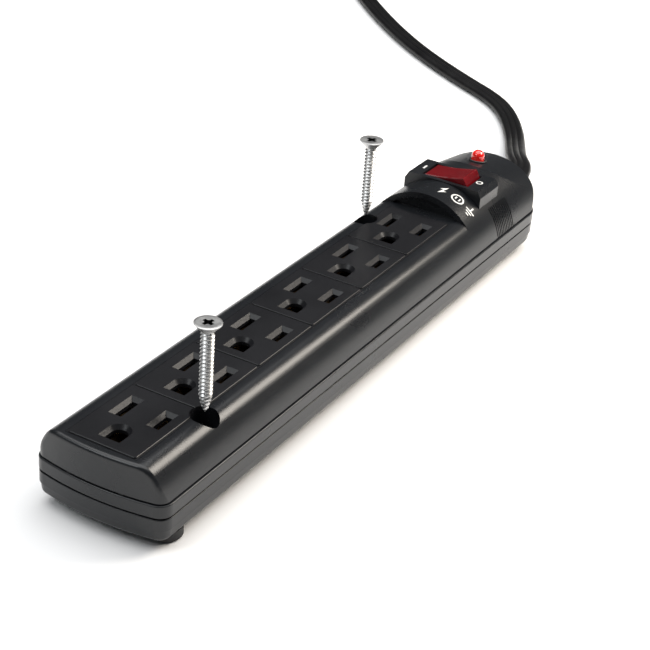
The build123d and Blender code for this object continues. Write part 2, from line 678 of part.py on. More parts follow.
heads = [post(x, y, 3.0, 3.7, 5.1) + post(x, y, 1.45, 5, 16) for x, y in HOUSING_SCREWS]
heads = [h - Pos(x, y, 3.7) * Box(3.6, 0.9, 1.6) - Pos(x, y, 3.7) * Box(0.9, 3.6, 1.6)
         for h, (x, y) in zip(heads, HOUSING_SCREWS)]
save(Compound(children=heads), "housing_screws")
feet = [post(x, y, FOOT_R, 0, FOOT_HEIGHT) for x, y in FEET]
feet = [chamfer(f.faces().sort_by(Axis.Z)[0].edges(), 0.5) for f in feet]
save(Compound(children=feet), "rubber_feet")

save(strain_relief(), "strain_relief")
save(cord_tube(ROUTE, "cord"), "cord")
save(coil_ring(), "cord_coil")
save(wire([TAIL_START, TAIL_END], CORD_R), "cord_tail")
save(coil_tie(200), "coil_tie")

save(on_plug(plug_body()), "plug_body")
for name, z in (("line", -BLADE_Y), ("neutral", BLADE_Y)):
    blade = box((0, 17.5), (-6.9, -0.55), (z - 0.75, z + 0.75))
    save(on_plug(blade), f"plug_blade_{name}")
pin = rod_x(0, 0, 2.38, 0, 18.3) + Pos(18.3, 0, 0) * Sphere(2.38)
save(on_plug(Pos(0, 8.2, 0) * pin), "plug_ground_pin")
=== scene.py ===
import json
import math

import bmesh
import bpy
from mathutils import Matrix, Vector


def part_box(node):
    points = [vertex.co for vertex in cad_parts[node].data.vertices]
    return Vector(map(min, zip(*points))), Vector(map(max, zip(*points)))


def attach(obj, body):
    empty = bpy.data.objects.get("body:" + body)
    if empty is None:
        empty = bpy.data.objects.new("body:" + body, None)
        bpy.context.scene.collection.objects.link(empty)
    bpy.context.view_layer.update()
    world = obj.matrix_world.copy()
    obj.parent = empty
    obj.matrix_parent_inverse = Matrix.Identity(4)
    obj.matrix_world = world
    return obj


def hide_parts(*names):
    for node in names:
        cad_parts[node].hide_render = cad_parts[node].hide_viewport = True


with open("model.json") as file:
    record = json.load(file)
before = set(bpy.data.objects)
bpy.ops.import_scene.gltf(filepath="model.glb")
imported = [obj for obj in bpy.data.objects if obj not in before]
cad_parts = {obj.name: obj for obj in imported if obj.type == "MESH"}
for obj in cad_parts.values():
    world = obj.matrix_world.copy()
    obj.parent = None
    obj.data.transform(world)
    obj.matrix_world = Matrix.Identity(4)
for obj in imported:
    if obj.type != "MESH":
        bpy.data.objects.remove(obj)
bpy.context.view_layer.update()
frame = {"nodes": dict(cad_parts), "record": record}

MM = 0.001


# ---------------------------------------------------------------- modelling helpers

def nothing_selected():
    bpy.ops.object.select_all(action="DESELECT")


def take(obj):
    """Make obj the only selected and active object."""
    nothing_selected()
    obj.select_set(True)
    bpy.context.view_layer.objects.active = obj


def new_piece(name):
    """Name the primitive that was just added, with nothing in it selected."""
    obj = bpy.context.object
    obj.name = name
    obj.data.name = name
    bpy.ops.object.mode_set(mode="EDIT")
    bpy.ops.mesh.select_all(action="DESELECT")
    bpy.ops.object.mode_set(mode="OBJECT")
    take(obj)
    return obj


def pick(obj, kind, test):
    """In edit mode, select the faces, edges or verts for which test(item) holds."""
    bpy.ops.mesh.select_mode(type={"faces": "FACE", "edges": "EDGE", "verts": "VERT"}[kind])
    bpy.ops.mesh.select_all(action="DESELECT")
    mesh = bmesh.from_edit_mesh(obj.data)
    for item in getattr(mesh, kind):
        item.select_set(bool(test(item)))
    mesh.select_flush_mode()
    bmesh.update_edit_mesh(obj.data)


def edit(obj):
    take(obj)
    bpy.ops.object.mode_set(mode="EDIT")


def done():
    bpy.ops.object.mode_set(mode="OBJECT")


def grow(move=(0, 0, 0), scale=(1, 1, 1), about=(0, 0, 0)):
    """Extrude the selected faces by move, then scale the new end about a point."""
    bpy.ops.mesh.extrude_region_move(TRANSFORM_OT_translate={"value": move})
    if scale != (1, 1, 1):
        bpy.ops.transform.resize(value=scale, center_override=about)


def apply_modifiers(obj):
    take(obj)
    for modifier in list(obj.modifiers):
        bpy.ops.object.modifier_apply(modifier=modifier.name)


def bevel(obj, width, segments=3, angle=30):
    modifier = obj.modifiers.new("edges", "BEVEL")
    modifier.width = width
    modifier.segments = segments
    modifier.limit_method = "ANGLE"
    modifier.angle_limit = math.radians(angle)
    modifier.harden_normals = False
    apply_modifiers(obj)


def smooth(obj, degrees=35):
    take(obj)
    bpy.ops.object.shade_smooth_by_angle(angle=math.radians(degrees))


def place(obj):
    """Put the object's place into its mesh."""
    take(obj)
    bpy.ops.object.transform_apply(location=True, rotation=True, scale=True)


def outward(obj):
    edit(obj)
    bpy.ops.mesh.select_all(action="SELECT")
    bpy.ops.mesh.remove_doubles(threshold=1e-6)
    bpy.ops.mesh.normals_make_consistent(inside=False)
    done()


def cut(obj, tool):
    """Take the tool's shape out of obj, and the tool away."""
    modifier = obj.modifiers.new("cut", "BOOLEAN")
    modifier.operation = "DIFFERENCE"
    modifier.solver = "EXACT"
    modifier.object = tool
    apply_modifiers(obj)
    bpy.data.objects.remove(tool)


def join(first, *others):
    take(first)
    for other in others:
        other.select_set(True)
    bpy.ops.object.join()
    return first


def copy_of(obj, name, offset):
    """A copy with its own mesh, moved by offset in its mesh."""
    twin = obj.copy()
    twin.data = obj.data.copy()
    twin.name = name
    twin.data.name = name
    bpy.context.scene.collection.objects.link(twin)
    twin.data.transform(Matrix.Translation(offset))
    return twin


def paint_shade_inside(obj, material, test):
    """Give the faces for which test(face) holds a second, darker material, laid on as painted shade."""
    obj.data.materials.append(material)
    edit(obj)
    pick(obj, "faces", test)
    obj.active_material_index = len(obj.data.materials) - 1
    bpy.ops.object.material_slot_assign()
    done()


def finish_piece(obj, body, material, replaced=()):
    obj.data.materials.clear()
    obj.data.materials.append(material)
    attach(obj, body)
    if replaced:
        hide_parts(*replaced)


# ---------------------------------------------------------------- material groups

def socket(group, name, way, kind, value=None):
    item = group.interface.new_socket(name=name, in_out=way, socket_type=kind)
    if value is not None:
        item.default_value = value
    return item


def moulded_grain():
    """Fine spark-eroded grain of a moulded surface, with slow cloudy variation."""
    group = bpy.data.node_groups.new("Moulded grain", "ShaderNodeTree")
    socket(group, "Place", "INPUT", "NodeSocketVector")
    socket(group, "Grain size", "INPUT", "NodeSocketFloat", 4000.0)
    socket(group, "Cloud size", "INPUT", "NodeSocketFloat", 60.0)
    socket(group, "Height", "OUTPUT", "NodeSocketFloat")
    socket(group, "Cloud", "OUTPUT", "NodeSocketFloat")
    socket(group, "Speck", "OUTPUT", "NodeSocketFloat")
    nodes, links = group.nodes, group.links
    start, end = nodes.new("NodeGroupInput"), nodes.new("NodeGroupOutput")
    grain = nodes.new("ShaderNodeTexNoise")
    grain.inputs["Detail"].default_value = 3.0
    grain.inputs["Roughness"].default_value = 0.6
    cloud = nodes.new("ShaderNodeTexNoise")
    cloud.inputs["Detail"].default_value = 4.0
    speck = nodes.new("ShaderNodeTexVoronoi")
    few = nodes.new("ShaderNodeMapRange")
    few.inputs["From Min"].default_value = 0.0
    few.inputs["From Max"].default_value = 0.16
    few.inputs["To Min"].default_value = 1.0
    few.inputs["To Max"].default_value = 0.0
    links.new(start.outputs["Place"], grain.inputs["Vector"])
    links.new(start.outputs["Grain size"], grain.inputs["Scale"])
    links.new(start.outputs["Place"], cloud.inputs["Vector"])
    links.new(start.outputs["Cloud size"], cloud.inputs["Scale"])
    links.new(start.outputs["Place"], speck.inputs["Vector"])
    links.new(start.outputs["Grain size"], speck.inputs["Scale"])
    links.new(speck.outputs["Distance"], few.inputs["Value"])
    links.new(grain.outputs["Fac"], end.inputs["Height"])
    links.new(cloud.outputs["Fac"], end.inputs["Cloud"])
    links.new(few.outputs["Result"], end.inputs["Speck"])
    return group


def handled_dust():
    """Light dust broken into patches."""
    group = bpy.data.node_groups.new("Handled dust", "ShaderNodeTree")
    socket(group, "Place", "INPUT", "NodeSocketVector")
    socket(group, "Patch size", "INPUT", "NodeSocketFloat", 90.0)
    socket(group, "Amount", "INPUT", "NodeSocketFloat", 0.2)
    socket(group, "Mask", "OUTPUT", "NodeSocketFloat")
    nodes, links = group.nodes, group.links
    start, end = nodes.new("NodeGroupInput"), nodes.new("NodeGroupOutput")
    patch = nodes.new("ShaderNodeTexNoise")
    patch.inputs["Detail"].default_value = 6.0
    patch.inputs["Roughness"].default_value = 0.65
    limit = nodes.new("ShaderNodeMapRange")
    limit.inputs["From Min"].default_value = 0.48
    limit.inputs["From Max"].default_value = 0.72
    amount = nodes.new("ShaderNodeMath")
    amount.operation = "MULTIPLY"
    links.new(start.outputs["Place"], patch.inputs["Vector"])
    links.new(start.outputs["Patch size"], patch.inputs["Scale"])
    links.new(patch.outputs["Fac"], limit.inputs["Value"])
    links.new(limit.outputs["Result"], amount.inputs[0])
    links.new(start.outputs["Amount"], amount.inputs[1])
    links.new(amount.outputs["Value"], end.inputs["Mask"])
    return group


def drawn_metal():
    """Fine scratches and slow tarnish of a plated or rolled metal part."""
    group = bpy.data.node_groups.new("Drawn metal", "ShaderNodeTree")
    socket(group, "Place", "INPUT", "NodeSocketVector")
    socket(group, "Scratch size", "INPUT", "NodeSocketFloat", 900.0)
    socket(group, "Height", "OUTPUT", "NodeSocketFloat")
    socket(group, "Tarnish", "OUTPUT", "NodeSocketFloat")
    nodes, links = group.nodes, group.links
    start, end = nodes.new("NodeGroupInput"), nodes.new("NodeGroupOutput")
    scratch = nodes.new("ShaderNodeTexNoise")
    scratch.inputs["Detail"].default_value = 2.0
    scratch.inputs["Distortion"].default_value = 0.6
    tarnish = nodes.new("ShaderNodeTexNoise")
    tarnish.inputs["Scale"].default_value = 240.0
    tarnish.inputs["Detail"].default_value = 5.0
    links.new(start.outputs["Place"], scratch.inputs["Vector"])
    links.new(start.outputs["Scratch size"], scratch.inputs["Scale"])
    links.new(start.outputs["Place"], tarnish.inputs["Vector"])
    links.new(scratch.outputs["Fac"], end.inputs["Height"])
    links.new(tarnish.outputs["Fac"], end.inputs["Tarnish"])
    return group


GRAIN = moulded_grain()
DUST = handled_dust()
DRAWN = drawn_metal()


class Finish:
    """A material with one Principled shader, and the nodes that several finishes share."""

    def __init__(self, name):
        self.material = bpy.data.materials.new(name)
        self.material.use_nodes = True
        self.nodes = self.material.node_tree.nodes
        self.links = self.material.node_tree.links
        self.nodes.clear()
        self.shader = self.nodes.new("ShaderNodeBsdfPrincipled")
        out = self.nodes.new("ShaderNodeOutputMaterial")
        self.links.new(self.shader.outputs["BSDF"], out.inputs["Surface"])
        self.place = self.nodes.new("ShaderNodeTexCoord").outputs["Object"]

    def group(self, tree, **values):
        node = self.nodes.new("ShaderNodeGroup")
        node.node_tree = tree
        self.links.new(self.place, node.inputs["Place"])
        for name, value in values.items():
            node.inputs[name.replace("_", " ")].default_value = value
        return node

    def colour(self, mask, low, high):
        mix = self.nodes.new("ShaderNodeMix")
        mix.data_type = "RGBA"
        mix.inputs["A"].default_value = (*low, 1)
        mix.inputs["B"].default_value = (*high, 1)
        self.links.new(mask, mix.inputs["Factor"])
        return mix.outputs["Result"]

    def over(self, mask, base, top):
        mix = self.nodes.new("ShaderNodeMix")
        mix.data_type = "RGBA"
        mix.inputs["B"].default_value = (*top, 1)
        self.links.new(mask, mix.inputs["Factor"])
        self.links.new(base, mix.inputs["A"])
        return mix.outputs["Result"]

    def spread(self, value, low, high, start=0.3, stop=0.7):
        node = self.nodes.new("ShaderNodeMapRange")
        node.inputs["From Min"].default_value = start
        node.inputs["From Max"].default_value = stop
        node.inputs["To Min"].default_value = low
        node.inputs["To Max"].default_value = high
        self.links.new(value, node.inputs["Value"])
        return node.outputs["Result"]

    def feed(self, output, name):
        self.links.new(output, self.shader.inputs[name])

    def bump(self, height, strength, distance):
        node = self.nodes.new("ShaderNodeBump")
        node.inputs["Strength"].default_value = strength
        node.inputs["Distance"].default_value = distance
        self.links.new(height, node.inputs["Height"])
        self.feed(node.outputs["Normal"], "Normal")

    def set(self, **values):
        for name, value in values.items():
            self.shader.inputs[name.replace("_", " ")].default_value = value
        return self


def moulded(name, dark, light, rough, grain=3200.0, cloud=45.0, depth=0.12, dust=0.0, **extra):
    """A moulded plastic or rubber finish."""
    finish = Finish(name)
    surface = finish.group(GRAIN, Grain_size=grain, Cloud_size=cloud)
    tint = finish.colour(finish.spread(surface.outputs["Cloud"], 0.0, 1.0), dark, light)
    if dust:
        settled = finish.group(DUST, Patch_size=70.0, Amount=dust)
        tint = finish.over(settled.outputs["Mask"], tint, (0.30, 0.29, 0.27))
    finish.feed(tint, "Base Color")
    finish.feed(finish.spread(surface.outputs["Cloud"], rough[0], rough[1]), "Roughness")
    finish.bump(surface.outputs["Height"], depth, 0.00005)
    finish.set(**extra)
    return finish.material


def metal(name, dark, light, rough, scratch=900.0, depth=0.1, **extra):
    """A plated, rolled or drawn metal finish."""
    finish = Finish(name)
    surface = finish.group(DRAWN, Scratch_size=scratch)
    finish.feed(finish.colour(finish.spread(surface.outputs["Tarnish"], 0.0, 1.0), dark, light), "Base Color")
    finish.feed(finish.spread(surface.outputs["Tarnish"], rough[0], rough[1]), "Roughness")
    finish.bump(surface.outputs["Height"], depth, 0.00003)
    finish.set(Metallic=1.0, **extra)
    return finish.material


def housing_plastic(name, dark, light, rough, depth, shine=0.5):
    """Satin near-black ABS: fine grain, faint handling marks, a trace of dust."""
    finish = Finish(name)
    surface = finish.group(GRAIN, Grain_size=5200.0, Cloud_size=38.0)
    settled = finish.group(DUST, Patch_size=900.0, Amount=0.03)
    tint = finish.colour(finish.spread(surface.outputs["Cloud"], 0.0, 1.0), dark, light)
    tint = finish.over(settled.outputs["Mask"], tint, (0.07, 0.07, 0.07))
    finish.feed(tint, "Base Color")
    finish.feed(finish.spread(surface.outputs["Cloud"], rough[0], rough[1]), "Roughness")
    finish.bump(surface.outputs["Height"], depth, 0.00004)
    finish.set(IOR=1.5, Specular_IOR_Level=shine)
    return finish.material


M = {
    "housing_black": housing_plastic("satin black ABS", (0.0070, 0.0080, 0.0098), (0.0100, 0.0112, 0.0132),
                                     (0.26, 0.31), 0.22, 0.42),
    "outlet_black": housing_plastic("outlet face black", (0.007, 0.0072, 0.0085), (0.010, 0.0102, 0.012),
                                    (0.30, 0.37), 0.3, 0.27),
    "rocker_red": moulded("translucent red rocker", (0.10, 0.002, 0.004), (0.14, 0.003, 0.006), (0.18, 0.26),
                          grain=1500.0, cloud=160.0, depth=0.05, Coat_Weight=0.2, Coat_Roughness=0.10,
                          Specular_IOR_Level=0.35),
    "lamp_red": moulded("red lamp resin", (0.62, 0.010, 0.008), (0.85, 0.02, 0.012), (0.05, 0.10),
                        grain=900.0, cloud=300.0, depth=0.03, Coat_Weight=1.0, Coat_Roughness=0.03,
                        Emission_Color=(1.0, 0.03, 0.02, 1), Emission_Strength=0.1),
    "rubber_black": moulded("rubber foot", (0.012, 0.012, 0.013), (0.022, 0.022, 0.023), (0.62, 0.78),
                            grain=1800.0, depth=0.35, dust=0.10),
    "cord_black": moulded("flexible PVC", (0.005, 0.005, 0.0055), (0.008, 0.008, 0.0085), (0.36, 0.46),
                          grain=2600.0, cloud=120.0, depth=0.15, Specular_IOR_Level=0.2),
    "switch_black": moulded("switch nylon", (0.018, 0.018, 0.018), (0.030, 0.030, 0.031), (0.5, 0.65)),
    "board_green": moulded("glass epoxy board", (0.012, 0.10, 0.035), (0.02, 0.16, 0.06), (0.3, 0.45),
                           grain=1200.0, cloud=400.0, depth=0.2),
    "varistor_blue": moulded("blue epoxy disc", (0.02, 0.09, 0.34), (0.03, 0.12, 0.42), (0.22, 0.34),
                             grain=700.0, cloud=300.0, depth=0.25),
    "part_grey": moulded("component body", (0.42, 0.38, 0.30), (0.55, 0.50, 0.42), (0.35, 0.5), cloud=500.0),
    "black_steel": metal("blackened steel", (0.03, 0.03, 0.033), (0.07, 0.07, 0.075), (0.34, 0.5)),
    "bright_steel": metal("nickel plated steel", (0.55, 0.55, 0.55), (0.68, 0.68, 0.67), (0.34, 0.44)),
    # Brass colour, kept far darker than bright brass as painted shade inside the outlet slots.
    "contact_brass": metal("contact brass darkened as slot shade", (0.16, 0.105, 0.05), (0.26, 0.18, 0.085), (0.38, 0.52)),
    "blade_nickel": metal("nickel plated blade", (0.60, 0.59, 0.56), (0.72, 0.71, 0.68), (0.18, 0.30)),
    "copper": metal("copper alloy", (0.60, 0.28, 0.16), (0.75, 0.38, 0.24), (0.25, 0.4)),
    "wire_black": moulded("black insulation", (0.012, 0.012, 0.012), (0.02, 0.02, 0.02), (0.35, 0.5)),
    "wire_white": moulded("white insulation", (0.62, 0.62, 0.60), (0.72, 0.72, 0.69), (0.35, 0.5)),
    "wire_green": moulded("green insulation", (0.015, 0.16, 0.04), (0.03, 0.24, 0.07), (0.35, 0.5)),
    "wire_red": moulded("red insulation", (0.34, 0.015, 0.015), (0.45, 0.03, 0.03), (0.35, 0.5)),
    "mark_white": moulded("white pad print", (0.62, 0.62, 0.60), (0.78, 0.78, 0.76), (0.4, 0.55),
                          grain=2400.0, cloud=500.0, depth=0.3),
}

# Every CAD node takes the finish of its slot.
slot_of = {part["node"]: part["material_slot"] for part in frame["record"]["subparts"]}
for name, node in frame["nodes"].items():
    finish = M[slot_of[name]]
    if name.startswith("outlet_face"):
        finish = M["outlet_black"]
    if name.startswith("plug_"):
        finish = M["blade_nickel"]
    if not node.data.materials:
        node.data.materials.append(finish)
    for index in range(len(node.data.materials)):
        node.data.materials[index] = finish

# ---------------------------------------------------------------- the cord

ROUTE = [
    (0.1465, 0.0, 0.0117), (0.1552, 0.0002, 0.0118), (0.1650, 0.0036, 0.0116), (0.1767, 0.0111, 0.0096),
    (0.1908, 0.0177, 0.0062), (0.2046, 0.0240, 0.0034), (0.2175, 0.0305, 0.0021), (0.231, 0.039, 0.0021),
    (0.2425, 0.0486, 0.0021), (0.251, 0.0595, 0.0021), (0.259, 0.0745, 0.0021), (0.271, 0.095, 0.0021),
    (0.286, 0.1175, 0.0021), (0.304, 0.140, 0.0021), (0.3255, 0.1635, 0.0021), (0.3495, 0.187, 0.0021),
    (0.376, 0.2095, 0.0022), (0.404, 0.229, 0.0025), (0.432, 0.2471, 0.0028),
]
COIL_X, COIL_Y, COIL_R = 0.454, 0.200, 0.052
COIL_START, COIL_SWEEP = 115.0, 805.0
COIL_STEP = 23.0
LAYERS = (0.0028, 0.00675, 0.0107)
TAIL = [(0.5080, 0.2105, 0.0109), (0.5145, 0.1992, 0.0110), (0.5195, 0.1905, 0.0110)]


def coil_height(turned):
    """Each layer lies flat for most of a turn, then climbs onto the next."""
    layer, part = divmod(turned, 360.0)
    low = LAYERS[int(layer)]
    if part < 285.0 or layer >= 2:
        return low
    climb = (part - 285.0) / 75.0
    return low + (LAYERS[int(layer) + 1] - low) * climb * climb * (3 - 2 * climb)


def coil_points():
    points = []
    for i in range(1, int(COIL_SWEEP / COIL_STEP) + 1):
        turned = COIL_STEP * i
        a = math.radians(COIL_START - turned)
        points.append((COIL_X + COIL_R * math.cos(a), COIL_Y + COIL_R * math.sin(a), coil_height(turned)))
    return points


def cord_line():
    """The cord's own line, as the centres of its rings."""
    curve = bpy.data.curves.new("cord line", "CURVE")
    curve.dimensions = "3D"
    spline = curve.splines.new("NURBS")
    points = ROUTE + coil_points() + TAIL
    spline.points.add(len(points) - 1)
    for point, place_at in zip(spline.points, points):
        point.co = (*place_at, 1.0)
    spline.order_u = 3
    spline.use_endpoint_u = True
    curve.resolution_u = 10
    obj = bpy.data.objects.new("cord line", curve)
    bpy.context.scene.collection.objects.link(obj)
    bpy.context.view_layer.update()
    mesh = bpy.data.meshes.new_from_object(obj)
    line = [v.co.copy() for v in mesh.vertices]
    bpy.data.objects.remove(obj)
    return line


def cord_section():
    """Three joined conductors side by side: (across, up) points round the section."""
    reach, radius = 2.6, 1.9
    lobe = math.degrees(math.acos(1.3 / radius))
    ring = []

    def arc(centre, start, stop, steps):
        for i in range(steps):
            a = math.radians(start + (stop - start) * i / (steps - 1))
            ring.append(((centre + radius * math.cos(a)) * MM, radius * math.sin(a) * MM))

    arc(reach, -180 + lobe, 180 - lobe, 13)
    arc(0.0, lobe, 180 - lobe, 7)
    arc(-reach, lobe, 360 - lobe, 13)
    arc(0.0, 180 + lobe, 360 - lobe, 7)
    clean = []
    for point in ring:
        if not clean or (Vector(point) - Vector(clean[-1])).length > 2e-5:
            clean.append(point)
    if (Vector(clean[0]) - Vector(clean[-1])).length < 2e-5:
        clean.pop()
    return clean


def flat_cord():
    line, section = cord_line(), cord_section()
    count = len(section)
    verts, faces = [], []
    for i, centre in enumerate(line):
        ahead = line[min(i + 1, len(line) - 1)] - line[max(i - 1, 0)]
        ahead.normalize()
        across = Vector((0, 0, 1)).cross(ahead).normalized()
        up = ahead.cross(across)
        for side, height in section:
            verts.append(centre + across * side + up * height)
    for i in range(len(line) - 1):
        for j in range(count):
            a, b = i * count + j, i * count + (j + 1) % count
            faces.append((a, b, b + count, a + count))
    faces.append(tuple(range(count - 1, -1, -1)))
    faces.append(tuple(range(count * (len(line) - 1), count * len(line))))
    mesh = bpy.data.meshes.new("flat_cord")
    mesh.from_pydata(verts, [], faces)
    obj = bpy.data.objects.new("flat_cord", mesh)
    bpy.context.scene.collection.objects.link(obj)
    outward(obj)
    smooth(obj, 50)
    return obj, line


flex, flex_line = flat_cord()
finish_piece(flex, "housing", M["cord_black"], ("cord", "cord_coil", "cord_tail"))

# ---------------------------------------------------------------- cord bush

def flex_bush():
    """The bush in the end wall: flange inside, then a tapering tail with flex grooves."""
    low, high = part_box("strain_relief")
    mid = (low + high) / 2
    start = 0.1277
    width, height = 13.6, 9.6
    end_width, end_height = 10.6, 6.6
    ribs = 6
    bpy.ops.mesh.primitive_cube_add(size=1, location=((low.x + start) / 2, mid.y, mid.z),
                                    scale=(start - low.x, 0.0136, 0.0096))
    obj = new_piece("cord_bush")
    place(obj)
    edit(obj)
    pick(obj, "edges", lambda e: abs(e.verts[0].co.x - e.verts[1].co.x) > 0.003)
    bpy.ops.mesh.bevel(offset=0.0040, segments=5, affect="EDGES")
    done()
    centre = (0.0, mid.y, mid.z)

    def end_face(face):
        end = max(v.co.x for v in obj.data.vertices)
        return face.normal.x > 0.9 and face.calc_center_median().x > end - 1e-5

    length = high.x - start
    for i in range(ribs):
        step = length / ribs
        t = (i + 1) / ribs
        new_width = width + (end_width - width) * t
        new_height = height + (end_height - height) * t
        now_width = width + (end_width - width) * i / ribs
        now_height = height + (end_height - height) * i / ribs
        edit(obj)
        pick(obj, "faces", end_face)
        grow((step * 0.62, 0, 0), (1, new_width / now_width, new_height / now_height), centre)
        if i < ribs - 1:
            slim = 0.80
            grow((step * 0.04, 0, 0), (1, slim, slim), centre)
            grow((step * 0.30, 0, 0))
            grow((step * 0.04, 0, 0), (1, 1 / slim, 1 / slim), centre)
        else:
            grow((step * 0.38, 0, 0))
        done()
    bevel(obj, 0.00022, 2, 28)
    outward(obj)
    smooth(obj, 40)
    return obj


bush = flex_bush()
finish_piece(bush, "housing", M["cord_black"], ("strain_relief",))

# ---------------------------------------------------------------- plug

def plug_grip():
    """The moulded plug on the cord's end, lying on its side, with finger ribs."""
    yaw = math.radians(-60.0)
    face = Vector((TAIL[-1][0], TAIL[-1][1], 0.011)) + Vector((math.cos(yaw), math.sin(yaw), 0)) * 0.0475
    bpy.ops.mesh.primitive_cube_add(size=1, location=(-0.0035, 0, 0), scale=(0.007, 0.027, 0.0216))
    obj = new_piece("plug_grip")
    place(obj)
    edit(obj)
    pick(obj, "edges", lambda e: abs(e.verts[0].co.x - e.verts[1].co.x) > 0.003)
    bpy.ops.mesh.bevel(offset=0.0042, segments=5, affect="EDGES")
    done()

    def back_face(part):
        end = min(v.co.x for v in obj.data.vertices)
        return part.normal.x < -0.9 and part.calc_center_median().x < end + 1e-5

    # Each station is (distance behind the face, width, height), in millimetres.
    stations = [(7.0, 27.0, 21.6), (13.0, 24.6, 19.6), (20.0, 21.8, 17.8), (26.0, 19.6, 16.4),
                (30.5, 16.4, 12.8), (34.0, 13.6, 9.8), (40.0, 12.4, 8.6), (47.4, 10.8, 6.8)]
    for (x0, w0, h0), (x1, w1, h1) in zip(stations, stations[1:]):
        edit(obj)
        pick(obj, "faces", back_face)
        grow(((x0 - x1) * MM, 0, 0), (1, w1 / w0, h1 / h0), (0, 0, 0))
        done()
    bevel(obj, 0.0008, 3, 20)
    ribs = []
    for side in (1, -1):
        for i in range(4):
            x = -0.0095 - 0.0042 * i
            half = 0.0122 - 0.00155 * i
            bpy.ops.mesh.primitive_cube_add(size=1, location=(x, side * half, 0),
                                            scale=(0.0016, 0.0022, 0.0125 - 0.001 * i))
            rib = new_piece("rib")
            place(rib)
            bevel(rib, 0.0006, 3, 30)
            ribs.append(rib)
    join(obj, *ribs)
    obj.data.transform(Matrix.Translation(face) @ Matrix.Rotation(yaw, 4, "Z"))
    smooth(obj, 40)
    return obj


grip = plug_grip()
finish_piece(grip, "housing", M["cord_black"], ("plug_body",))

# ---------------------------------------------------------------- wood screws

def helical_thread(x, y, bottom, top, pitch, core, crest):
    """A sharp helical ridge wound up the shank."""
    turns = (top - bottom) / pitch
    half_base = pitch * 0.46
    bpy.ops.mesh.primitive_circle_add(vertices=4, radius=half_base, location=(0, 0, 0),
                                      rotation=(math.pi / 2, 0, 0))
    obj = new_piece("thread")
    place(obj)
    edit(obj)
    bpy.ops.mesh.select_all(action="SELECT")
    # A ridge as wide as nearly one pitch at the core, and sharp at the crest.
    bpy.ops.transform.resize(value=((crest - core) / half_base, 1, 1), center_override=(0, 0, 0))
    bpy.ops.transform.translate(value=(core, 0, bottom))
    done()
    wind = obj.modifiers.new("wind", "SCREW")
    wind.axis = "Z"
    wind.angle = math.tau * turns
    wind.screw_offset = top - bottom
    wind.steps = int(turns * 28)
    wind.render_steps = wind.steps
    wind.use_merge_vertices = False
    apply_modifiers(obj)
    obj.data.transform(Matrix.Translation((x, y, 0)))
    return obj


def wood_screw(node):
    """A countersunk cross-recess wood screw: shank, helical thread, gimlet point, head and recess."""
    low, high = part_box(node)
    mid = (low + high) / 2
    x, y = mid.x, mid.y
    core, crest, head = 0.0016, 0.0021, 0.0042
    tip, top = low.z, high.z
    rim = top - 0.0003
    neck = rim - (head - 0.0019) / math.tan(math.radians(41.0))
    taper = tip + 0.0058
    bpy.ops.mesh.primitive_cylinder_add(vertices=48, radius=core, depth=neck - 0.0008 - taper,
                                        location=(x, y, (neck - 0.0008 + taper) / 2))
    shank = new_piece("wood_screw_near")
    place(shank)

    def upper(face):
        return face.normal.z > 0.9

    def lower(face):
        return face.normal.z < -0.9

    edit(shank)
    centre = (x, y, 0)
    pick(shank, "faces", upper)
    grow((0, 0, 0.0008), (0.0019 / core, 0.0019 / core, 1), centre)
    grow((0, 0, rim - neck), (head / 0.0019, head / 0.0019, 1), centre)
    grow((0, 0, 0.00022), (0.995, 0.995, 1), centre)
    grow((0, 0, top - rim - 0.00022), (0.95, 0.95, 1), centre)
    bpy.ops.mesh.inset(thickness=0.0008)
    pick(shank, "faces", lower)
    grow((0, 0, -0.0024), (0.80, 0.80, 1), centre)
    grow((0, 0, -0.0020), (0.55, 0.55, 1), centre)
    grow((0, 0, -0.0013), (0.10, 0.10, 1), centre)
    bpy.ops.mesh.inset(thickness=0.00001)
    done()
    thread = helical_thread(x, y, tip + 0.0007, neck - 0.0003, 0.00125, core, crest)
    # Draw the last turns in to the point.
    edit(thread)
    levels = 14
    for i in range(levels):
        z0 = tip + (taper - tip) * i / levels
        z1 = tip + (taper - tip) * (i + 1) / levels
        share = ((i + 0.5) / levels) ** 0.6 * 0.90 + 0.06
        pick(thread, "verts", lambda v: z0 <= v.co.z < z1)
        bpy.ops.transform.resize(value=(share, share, 1), center_override=centre)
    done()
    # The cross recess: two tapered blades and a central cone.
    bpy.ops.mesh.primitive_cube_add(size=1, location=(x, y, top), scale=(0.0052, 0.0014, 0.0050))
    recess = new_piece("recess")
    place(recess)
    edit(recess)
    pick(recess, "faces", lower)
    bpy.ops.transform.resize(value=(0.45, 0.8, 1), center_override=(x, y, 0))
    done()
    bpy.ops.mesh.primitive_cube_add(size=1, location=(x, y, top), scale=(0.0014, 0.0052, 0.00501))
    other = new_piece("recess_b")
    place(other)
    edit(other)
    pick(other, "faces", lower)
    bpy.ops.transform.resize(value=(0.8, 0.45, 1), center_override=(x, y, 0))
    done()
    bpy.ops.mesh.primitive_cone_add(vertices=24, radius1=0.00070, radius2=0.00155, depth=0.0054,
                                    location=(x, y, top), rotation=(0, 0, 0))
    middle = new_piece("recess_c")
    place(middle)
    cut(shank, recess)
    cut(shank, other)
    cut(shank, middle)
    to_axis = Matrix.Translation((x, y, 0))
    shank.data.transform(to_axis @ Matrix.Rotation(math.radians(-16), 4, "Z") @ to_axis.inverted())
    join(shank, thread)
    smooth(shank, 42)
    return shank


near_screw = wood_screw("mounting_screw_near")
near_low, near_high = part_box("mounting_screw_near")
far_low, far_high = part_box("mounting_screw_far")
far_screw = copy_of(near_screw, "wood_screw_far", (far_low + far_high - near_low - near_high) / 2)
finish_piece(near_screw, "screw_near", M["bright_steel"], ("mounting_screw_near",))
finish_piece(far_screw, "screw_far", M["bright_steel"], ("mounting_screw_far",))


